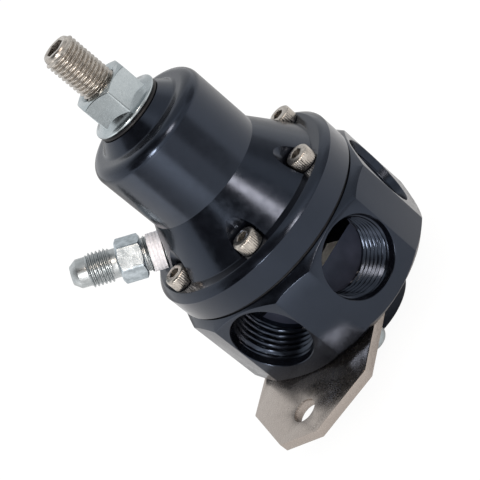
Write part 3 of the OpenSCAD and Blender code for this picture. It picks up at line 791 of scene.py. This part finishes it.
def bracket_plate():
    """Flat plate with cut corners, a rounded rear edge, a mounting hole and softly broken edges."""
    bm = bmesh.new()
    tip_half, tip_y, side_y, rear_y = 6.6, -52.8, -38.7, -16.5
    corner = 1.6
    turns = [pi / 2 * k / 6 for k in range(7)]
    points = [(-tip_half, tip_y), (tip_half, tip_y), (BRACKET_HALF, side_y)]
    points += [(BRACKET_HALF - corner + corner * cos(t), rear_y - corner + corner * sin(t)) for t in turns]
    points += [(-BRACKET_HALF + corner - corner * sin(t), rear_y - corner + corner * cos(t)) for t in turns]
    points.append((-BRACKET_HALF, side_y))
    outlines = [points]
    for x, y, r, n in ((0, -44.0, 3.55, 96), (-SCREW_X, SCREW_Y, 2.1, 32), (SCREW_X, SCREW_Y, 2.1, 32)):
        outlines.append([(x + r * cos(2 * pi * k / n), y + r * sin(2 * pi * k / n)) for k in range(n)])
    loops = [[bm.verts.new((x * MM, y * MM, BRACKET_Z * MM)) for x, y in outline] for outline in outlines]
    edges = []
    for loop in loops:
        edges += [bm.edges.new((loop[i], loop[(i + 1) % len(loop)])) for i in range(len(loop))]
    bmesh.ops.triangle_fill(bm, use_beauty=True, use_dissolve=False, edges=edges)
    plate_faces = list(bm.faces)
    bmesh.ops.recalc_face_normals(bm, faces=plate_faces)
    raised = bmesh.ops.extrude_face_region(bm, geom=plate_faces)["geom"]
    raised = [g for g in raised if isinstance(g, bmesh.types.BMVert)]
    bmesh.ops.translate(bm, vec=(0, 0, BRACKET_T * MM), verts=raised)
    bmesh.ops.recalc_face_normals(bm, faces=bm.faces)
    mesh = bpy.data.meshes.new("bracket_plate")
    bm.to_mesh(mesh)
    bm.free()
    plate = piece("bracket_plate", mesh)
    break_edges(plate, 40, 0.28, 3)
    return plate


# Every piece with its material, body and the node that it stands for


block = ported_block()
dress(block, ANODISED_MILLED, "housing", "body", 22)
block.data.materials.append(ANODISED_DRILLED)
# material 2, the bright satin aluminium, is the chamber's painted pool of light
block.data.materials.append(ALUMINIUM_SATIN)
finish_inside(block)
bonnet = turned_bonnet()
dress(bonnet, ANODISED_TURNED, "housing", "bonnet", 24)
true_normals(bonnet)
screw_ring = repeated("cap_screw_set", repeat_tree("screw_circle", "circle"), cap_screw_mesh(), STAINLESS,
                      Count=BOLT_COUNT, Reach=BOLT_CIRCLE_R * MM, Offset=(0, 0, CONE_Z * MM), Seed=7)
dress(screw_ring, STAINLESS, "housing", "cap_screws", 35)
pan_screws = repeated("bracket_screw_pair", repeat_tree("screw_row", "line"), pan_screw_mesh(), ZINC,
                      Count=2, Reach=2 * SCREW_X * MM, Offset=(-SCREW_X * MM, SCREW_Y * MM, BRACKET_Z * MM), Seed=3)
dress(pan_screws, ZINC, "housing", "bracket_screws", 35)
dress(bracket_plate(), NICKEL, "housing", "bracket", 35)
fitting = flare_fitting()
dress(fitting, ZINC_CAST, "housing", "reference_fitting", 28)
fitting.data.materials.append(ZINC_GRAIN)
fitting_axis = fitting_place().to_3x3() @ Vector((0, 0, 1))
for poly in fitting.data.polygons:
    along = (poly.center - fitting_place().translation).dot(fitting_axis)
    if (HEX_START - 0.1) * MM < along < (HEX_END + 0.02) * MM and poly.normal.dot(fitting_axis) ** 2 < 0.9:
        poly.material_index = 1
dress(tape_wrap(), TAPE, "housing", "thread_tape", 40)
dress(adjusting_stud(), STAINLESS, "adjuster", "adjusting_screw", 30)
dress(flange_nut(), ZINC, "nut", "lock_nut", 26)
dress(seal_ring(), RUBBER, "washer", "seal_washer", 35)

INNER = {"spring_cap": STEEL, "upper_plate": ALUMINIUM, "lower_plate": ALUMINIUM, "valve_stem": ALUMINIUM_SATIN,
         "stem_nut": ZINC, "valve_face": RUBBER, "seat_o_ring": RUBBER, "valve_seat": BRASS}
for node, material in INNER.items():
    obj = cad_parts[node]
    obj.data.materials.clear()
    obj.data.materials.append(material)


def flexing(node, name, material, keep=None):
    """A plain copy of a CAD piece, or the share of it above or below a height, with its material and smooth shading;
    the CAD piece is hidden.
    """
    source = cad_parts[node]
    mesh = source.data.copy()
    mesh.transform(source.matrix_world)
    obj = piece(name, mesh)
    if keep:
        height, above = keep
        bm = bmesh.new()
        bm.from_mesh(mesh)
        bmesh.ops.remove_doubles(bm, verts=bm.verts, dist=1e-7)
        bmesh.ops.bisect_plane(bm, geom=bm.verts[:] + bm.edges[:] + bm.faces[:], plane_co=(0, 0, height * MM),
                               plane_no=(0, 0, 1), clear_inner=above, clear_outer=not above)
        bmesh.ops.holes_fill(bm, edges=[e for e in bm.edges if e.is_boundary], sides=0)
        bm.to_mesh(mesh)
        bm.free()
    smooth(obj, 40)
    mesh.materials.clear()
    mesh.materials.append(material)
    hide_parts(node)
    return obj


SPRING_LOW, SPRING_SPLIT, SPRING_HIGH = 46.7, 53.5, 70.5
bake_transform(flexing("main_spring", "spring_upper_turns", STEEL, (SPRING_SPLIT, True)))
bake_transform(flexing("main_spring", "spring_lower_turns", STEEL, (SPRING_SPLIT, False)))

# The real diaphragm bends in its fold all round; here it is one plain copy, and the share of the valve's lift that
# falls with the radius across the fold is worked out for each vertex but not kept
ROLL_IN, ROLL_OUT = 14.9, 19.3
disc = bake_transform(flexing("diaphragm", "diaphragm_disc", RUBBER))
for vertex in disc.data.vertices:
    t = (ROLL_OUT - hypot(vertex.co.x, vertex.co.y) / MM) / (ROLL_OUT - ROLL_IN)
    t = min(1.0, max(0.0, t))


# Camera at the photograph's angle

AZ, EL, ROLL = radians(43.542), radians(23.489), radians(-50.046)
FOCAL_PX, FRAME_PX = 1502.0, 480.0
AIM_PX = (FRAME_PX / 2 - 228.03, FRAME_PX / 2 - 193.377)
EYE_DISTANCE = 0.4
SENSOR = 36.0
MIDDLE = Vector((0, 0, 0.055))
back = Vector((sin(AZ) * cos(EL), -cos(AZ) * cos(EL), sin(EL)))
right = Vector((cos(AZ), sin(AZ), 0))
up = back.cross(right)
right, up = cos(ROLL) * right + sin(ROLL) * up, -sin(ROLL) * right + cos(ROLL) * up
eye = MIDDLE + EYE_DISTANCE * back
forward = (-back + right * AIM_PX[0] / FOCAL_PX - up * AIM_PX[1] / FOCAL_PX).normalized()
right = (right - forward * right.dot(forward)).normalized()
up = right.cross(forward)
turn = Matrix((right, up, -forward)).transposed().to_4x4()
camera_data = bpy.data.cameras.new("photo_camera")
camera_data.sensor_width = SENSOR
camera_data.lens = FOCAL_PX / FRAME_PX * SENSOR
camera_data.clip_start = 0.01
camera = bpy.data.objects.new("photo_camera", camera_data)
camera.matrix_world = Matrix.Translation(eye) @ turn
bpy.context.scene.collection.objects.link(camera)
bpy.context.scene.camera = camera


# Floor, studio light and the white surroundings

def ray_share(tree):
    """The node that tells rays apart, and 1 for rays from the camera or through glass, 0 for the rest."""
    path = tree.nodes.new("ShaderNodeLightPath")
    first = add(tree, "ShaderNodeMath", operation="MAXIMUM")
    tree.links.new(path.outputs["Is Camera Ray"], first.inputs[0])
    tree.links.new(path.outputs["Is Transmission Ray"], first.inputs[1])
    return path, first.outputs[0]


def heading(az, el):
    """Direction at an azimuth from +X and an elevation, in degrees."""
    a, e = radians(az), radians(el)
    return Vector((cos(e) * cos(a), cos(e) * sin(a), sin(e)))


def floor_levels(tree):
    """Painted reflection levels of the floor that only mirrors see: the far floor in brighter and darker bands by the
    azimuth from the part, standing in for a graded panel and dark cards between, and the near floor a little darker.
    """
    near, near_r, far_r = 0.84, 0.15, 0.18
    # brightness of the floor's painted reflection bands, by azimuth in degrees
    stops = [(-176, 0.7), (-148, 1.15), (-122, 1.6), (-118, 0.34), (-95, 0.74), (-74, 1.66), (-64, 1.5), (-60, 0.55),
             (-32, 0.73), (-27, 0.29), (0, 0.34), (9, 0.94), (75, 0.86), (100, 0.62), (165, 0.37), (178, 0.72)]
    where = tree.nodes.new("ShaderNodeNewGeometry").outputs["Position"]
    split = tree.nodes.new("ShaderNodeSeparateXYZ")
    tree.links.new(where, split.inputs[0])
    azimuth = add(tree, "ShaderNodeMath", operation="ARCTAN2")
    tree.links.new(split.outputs["Y"], azimuth.inputs[0])
    tree.links.new(split.outputs["X"], azimuth.inputs[1])
    place = tree.nodes.new("ShaderNodeMapRange")
    place.inputs["From Min"].default_value = -pi
    place.inputs["From Max"].default_value = pi
    tree.links.new(azimuth.outputs[0], place.inputs["Value"])
    ramp = tree.nodes.new("ShaderNodeValToRGB")
    elements = ramp.color_ramp.elements
    while len(elements) < len(stops):
        elements.new(0.5)
    for element, (az, amount) in zip(elements, stops):
        element.position = (az + 180) / 360
        element.color = (amount, amount, amount, 1)
    tree.links.new(place.outputs["Result"], ramp.inputs["Fac"])
    length = add(tree, "ShaderNodeVectorMath", operation="LENGTH")
    tree.links.new(where, length.inputs[0])
    far = add(tree, "ShaderNodeMapRange", interpolation_type="SMOOTHSTEP")
    far.inputs["From Min"].default_value = near_r
    far.inputs["From Max"].default_value = far_r
    tree.links.new(length.outputs["Value"], far.inputs["Value"])
    levels = add(tree, "ShaderNodeMix", data_type="RGBA")
    levels.inputs["A"].default_value = (near, near, near, 1)
    tree.links.new(far.outputs["Result"], levels.inputs["Factor"])
    tree.links.new(ramp.outputs["Color"], levels.inputs["B"])
    return levels.outputs["Result"]


def floor_material():
    """Matt paper that the camera sees as nearly white, with painted reflection levels that only mirrors see."""
    paper, glow, glow_share = 0.86, 1.02, 0.91
    material = bpy.data.materials.new("pale_floor")
    material.use_nodes = True
    tree = material.node_tree
    tree.nodes.clear()
    out = tree.nodes.new("ShaderNodeOutputMaterial")
    matt = tree.nodes.new("ShaderNodeBsdfDiffuse")
    white = tree.nodes.new("ShaderNodeEmission")
    white.inputs["Color"].default_value = (1, 1, 1, 1)
    white.inputs["Strength"].default_value = glow
    path, seen = ray_share(tree)
    pale = add(tree, "ShaderNodeMix", data_type="RGBA", blend_type="MULTIPLY")
    pale.inputs["A"].default_value = (paper, paper, paper, 1)
    # the painted reflection levels reach only glossy rays
    tree.links.new(path.outputs["Is Glossy Ray"], pale.inputs["Factor"])
    tree.links.new(floor_levels(tree), pale.inputs["B"])
    tree.links.new(pale.outputs["Result"], matt.inputs["Color"])
    part = add(tree, "ShaderNodeMath", operation="MULTIPLY")
    part.inputs[1].default_value = glow_share
    tree.links.new(seen, part.inputs[0])
    mix = tree.nodes.new("ShaderNodeMixShader")
    tree.links.new(part.outputs[0], mix.inputs["Fac"])
    tree.links.new(matt.outputs[0], mix.inputs[1])
    tree.links.new(white.outputs[0], mix.inputs[2])
    tree.links.new(mix.outputs[0], out.inputs["Surface"])
    return material


def studio_world():
    """White to the camera. Mirrors see pale walls with soft dark flags, each given by its azimuth, elevation,
    half width and soft rim in degrees and its depth."""
    room_level, wall_level = 1.25, 1.05
    world = bpy.data.worlds.new("studio")
    bpy.context.scene.world = world
    world.use_nodes = True
    tree = world.node_tree
    tree.nodes.clear()
    coords = tree.nodes.new("ShaderNodeTexCoord")
    level = None
    flags = [(-105, 29, 18, 4, 0.98), (-52, 47, 16, 6, 0.92), (-86, 66, 14, 6, 0.92), (-8, 33, 7, 8, 0.4),
             (45, 19, 14, 8, 0.5), (52, 60, 20, 10, 0.38), (-160, 10, 14, 10, -0.12), (112, 26, 16, 10, 0.25),
             (-120, 54, 14, 10, 0.85), (-150, 72, 14, 10, 0.6), (18, 7, 26, 10, 0.3)]
    for az, el, half, soft, depth in flags:
        dot = add(tree, "ShaderNodeVectorMath", operation="DOT_PRODUCT")
        dot.inputs[1].default_value = heading(az, el)
        tree.links.new(coords.outputs["Generated"], dot.inputs[0])
        fade = add(tree, "ShaderNodeMapRange", interpolation_type="SMOOTHSTEP")
        fade.inputs["From Min"].default_value = cos(radians(half + soft))
        fade.inputs["From Max"].default_value = cos(radians(half))
        fade.inputs["To Min"].default_value = 1.0
        fade.inputs["To Max"].default_value = 1.0 - depth
        tree.links.new(dot.outputs["Value"], fade.inputs["Value"])
        if level is None:
            level = fade.outputs["Result"]
        else:
            times = add(tree, "ShaderNodeMath", operation="MULTIPLY")
            tree.links.new(level, times.inputs[0])
            tree.links.new(fade.outputs["Result"], times.inputs[1])
            level = times.outputs[0]
    walls = add(tree, "ShaderNodeMath", operation="MULTIPLY")
    walls.inputs[1].default_value = wall_level
    tree.links.new(level, walls.inputs[0])
    path, seen = ray_share(tree)
    strength = add(tree, "ShaderNodeMix", data_type="FLOAT")
    tree.links.new(seen, strength.inputs["Factor"])
    room = add(tree, "ShaderNodeMix", data_type="FLOAT")
    room.inputs["A"].default_value = room_level
    tree.links.new(path.outputs["Is Glossy Ray"], room.inputs["Factor"])
    tree.links.new(walls.outputs[0], room.inputs["B"])
    tree.links.new(room.outputs["Result"], strength.inputs["A"])
    strength.inputs["B"].default_value = 1.0
    shade = tree.nodes.new("ShaderNodeBackground")
    shade.inputs["Color"].default_value = (1, 1, 1, 1)
    tree.links.new(strength.outputs["Result"], shade.inputs["Strength"])
    out = tree.nodes.new("ShaderNodeOutputWorld")
    tree.links.new(shade.outputs[0], out.inputs["Surface"])


def soft_box(name, az, el, distance, width, height, power, colour):
    """An area light that looks at the part's middle from a direction, unseen by the camera."""
    light = bpy.data.lights.new(name, "AREA")
    light.shape = "RECTANGLE"
    light.size = width
    light.size_y = height
    light.energy = power
    light.color = colour
    obj = bpy.data.objects.new(name, light)
    direction = heading(az, el)
    obj.matrix_world = (Matrix.Translation(MIDDLE + direction * distance)
                        @ direction.to_track_quat("Z", "Y").to_matrix().to_4x4())
    obj.visible_camera = False
    bpy.context.scene.collection.objects.link(obj)


FLOOR_HALF = 6.0
floor_mesh = bpy.data.meshes.new("floor")
floor_mesh.from_pydata([(-FLOOR_HALF, -FLOOR_HALF, 0), (FLOOR_HALF, -FLOOR_HALF, 0), (FLOOR_HALF, FLOOR_HALF, 0),
                        (-FLOOR_HALF, FLOOR_HALF, 0)], [], [(0, 1, 2, 3)])
floor_mesh.materials.append(floor_material())
floor_obj = bpy.data.objects.new("floor", floor_mesh)
bpy.context.scene.collection.objects.link(floor_obj)
studio_world()
soft_box("key_box", -25, 37.5, 0.9, 0.17, 0.26, 2.2, (1.0, 0.82, 0.69))
soft_box("strip_box", -72, 18, 0.9, 0.14, 0.24, 3.6, (1.0, 0.94, 0.9))
bpy.context.scene.view_settings.view_transform = "Standard"
